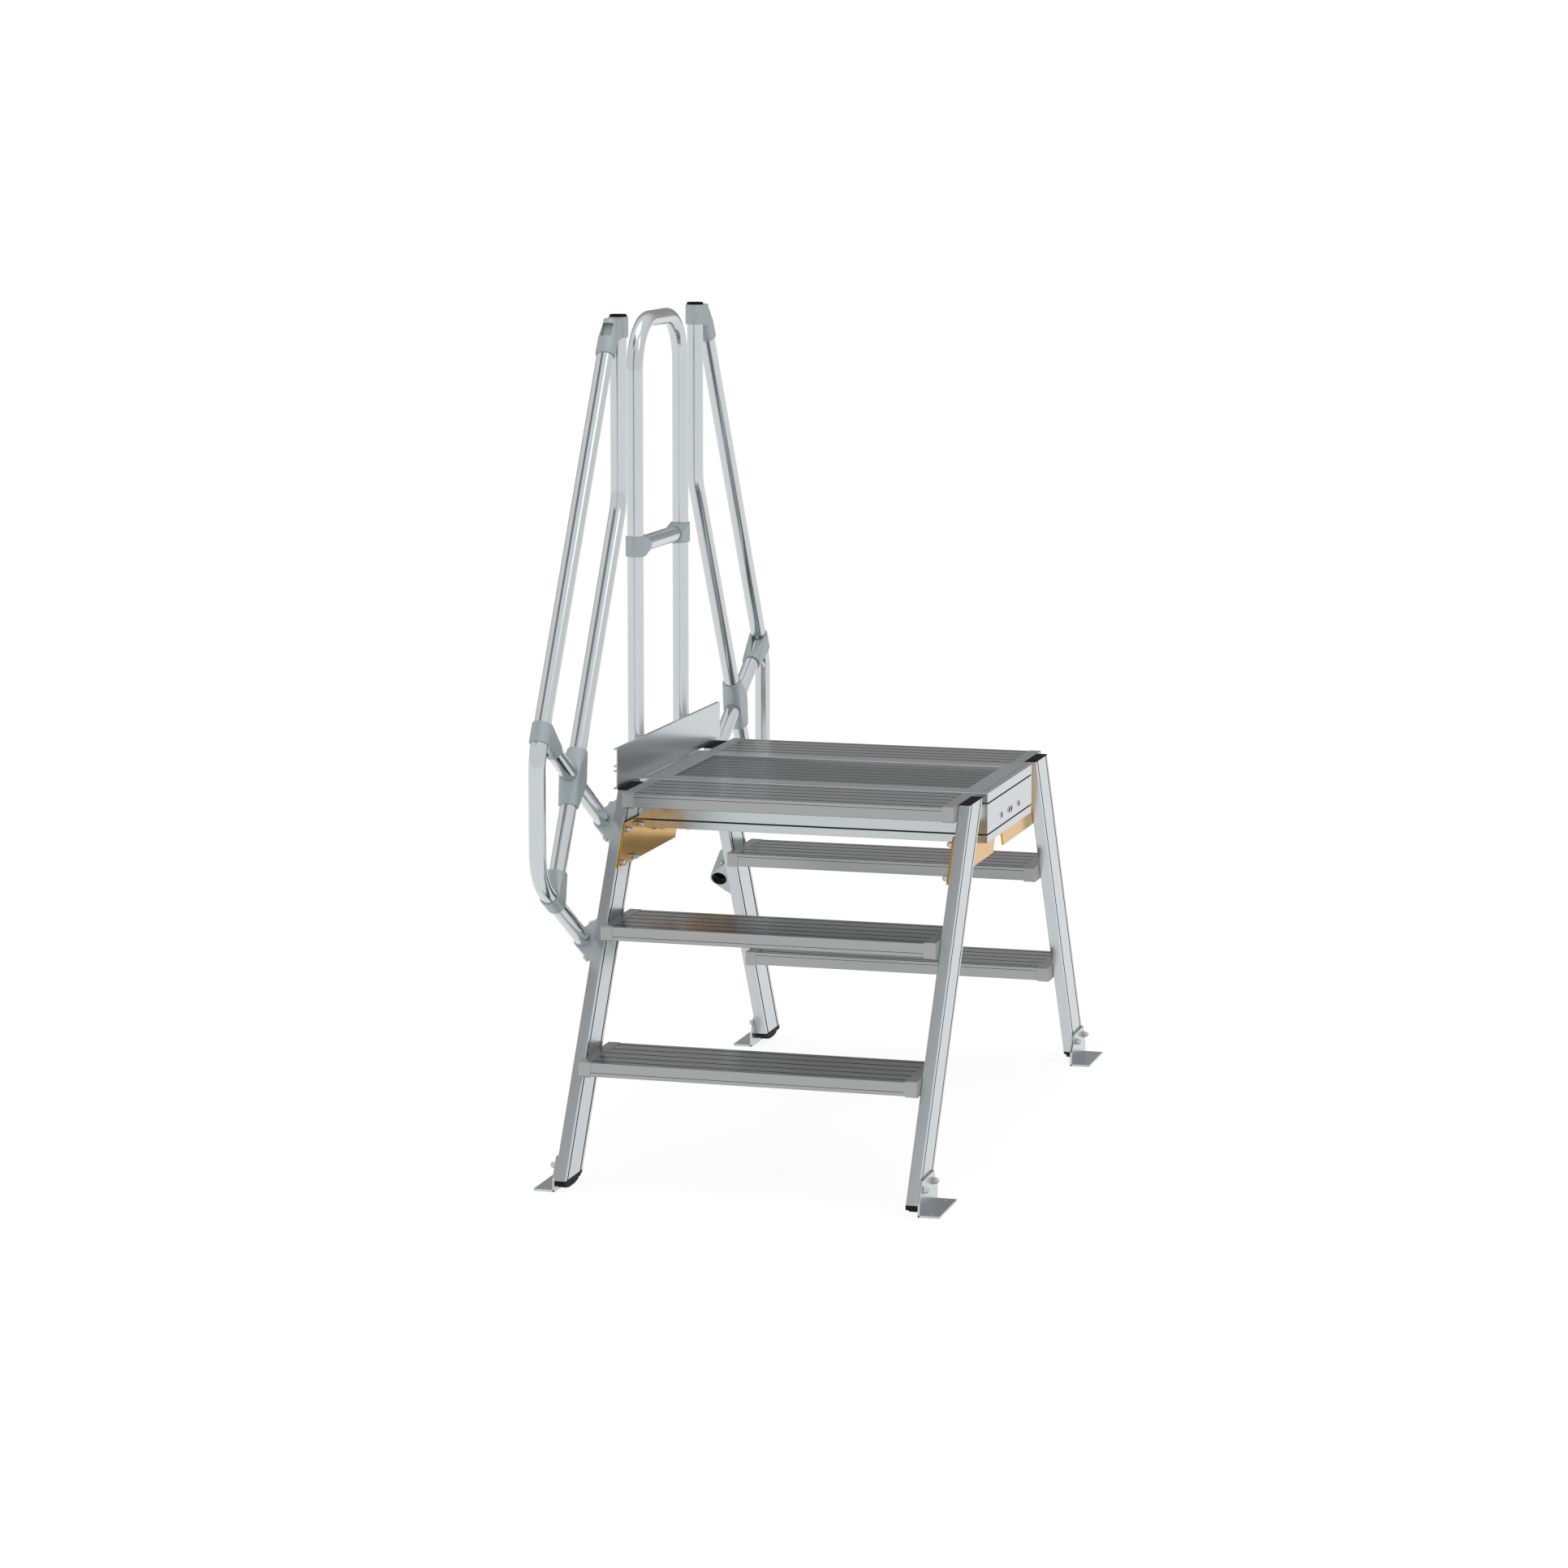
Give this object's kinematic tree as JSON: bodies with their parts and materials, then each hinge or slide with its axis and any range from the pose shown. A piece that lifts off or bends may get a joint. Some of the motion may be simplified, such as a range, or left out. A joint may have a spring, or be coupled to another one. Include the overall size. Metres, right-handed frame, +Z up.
{
  "type": "step-over bridge",
  "caption": "Free-standing aluminium step-over bridge: ladders lean on a framed platform, with a bent tube handrail and a hoop guard along one side, bolted to the floor.",
  "frame": {"origin": "on the floor, in the middle of the footprint", "axes": "+X to the open side without rails, +Y along the walking direction, +Z up"},
  "size_m": [0.8, 1.585, 1.65],
  "materials": {
    "stringer": "fine satin, drawn lengthwise",
    "frame_beam": "fine satin, drawn lengthwise",
    "tread": "dull grey with long grooves",
    "tread_cap": "dull cast grey",
    "deck": "dull grey with long grooves",
    "corner_plate": "glossy yellow-orange",
    "floor_bracket": "satin",
    "foot": "matt",
    "plug": "matt",
    "rail_tube": "polished",
    "clamp": "matt cast",
    "socket": "matt cast",
    "toe_board": "satin",
    "fasteners": "bright"
  },
  "bodies": {
    "root": {"stringer_fl": "stringer", "stringer_fr": "stringer", "stringer_bl": "stringer", "stringer_br": "stringer", "top_plugs": "plug", "foot_fl": "foot", "foot_fr": "foot", "foot_bl": "foot", "foot_br": "foot", "floor_bracket_fl": "floor_bracket", "floor_bracket_fr": "floor_bracket", "floor_bracket_bl": "floor_bracket", "floor_bracket_br": "floor_bracket", "tread_f1": "tread", "tread_f2": "tread", "tread_f3": "tread", "tread_b1": "tread", "tread_b2": "tread", "tread_b3": "tread", "tread_caps_f1": "tread_cap", "tread_caps_f2": "tread_cap", "tread_caps_f3": "tread_cap", "tread_caps_b1": "tread_cap", "tread_caps_b2": "tread_cap", "tread_caps_b3": "tread_cap", "beam_left": "frame_beam", "beam_right": "frame_beam", "beam_front": "frame_beam", "beam_back": "frame_beam", "deck_panel": "deck", "corner_plate_fl": "corner_plate", "corner_plate_fr": "corner_plate", "corner_plate_bl": "corner_plate", "corner_plate_br": "corner_plate", "toe_board": "toe_board", "hoop": "rail_tube", "hoop_rail": "rail_tube", "hoop_tees": "clamp", "hoop_sockets": "socket", "handrail_front": "rail_tube", "handrail_back": "rail_tube", "post_front": "rail_tube", "post_back": "rail_tube", "braces_front": "rail_tube", "braces_back": "rail_tube", "top_clamp_front": "clamp", "top_clamp_back": "clamp", "knee_clamp_front": "clamp", "knee_clamp_back": "clamp", "cross_clamp_front": "clamp", "cross_clamp_back": "clamp", "low_clamp_front": "clamp", "low_clamp_back": "clamp", "sockets_front": "socket", "sockets_back": "socket", "post_plugs": "plug", "floor_bolts": "fasteners", "plate_bolts": "fasteners", "socket_bolts": "fasteners", "beam_rivets": "fasteners"}
  },
  "joints": []
}
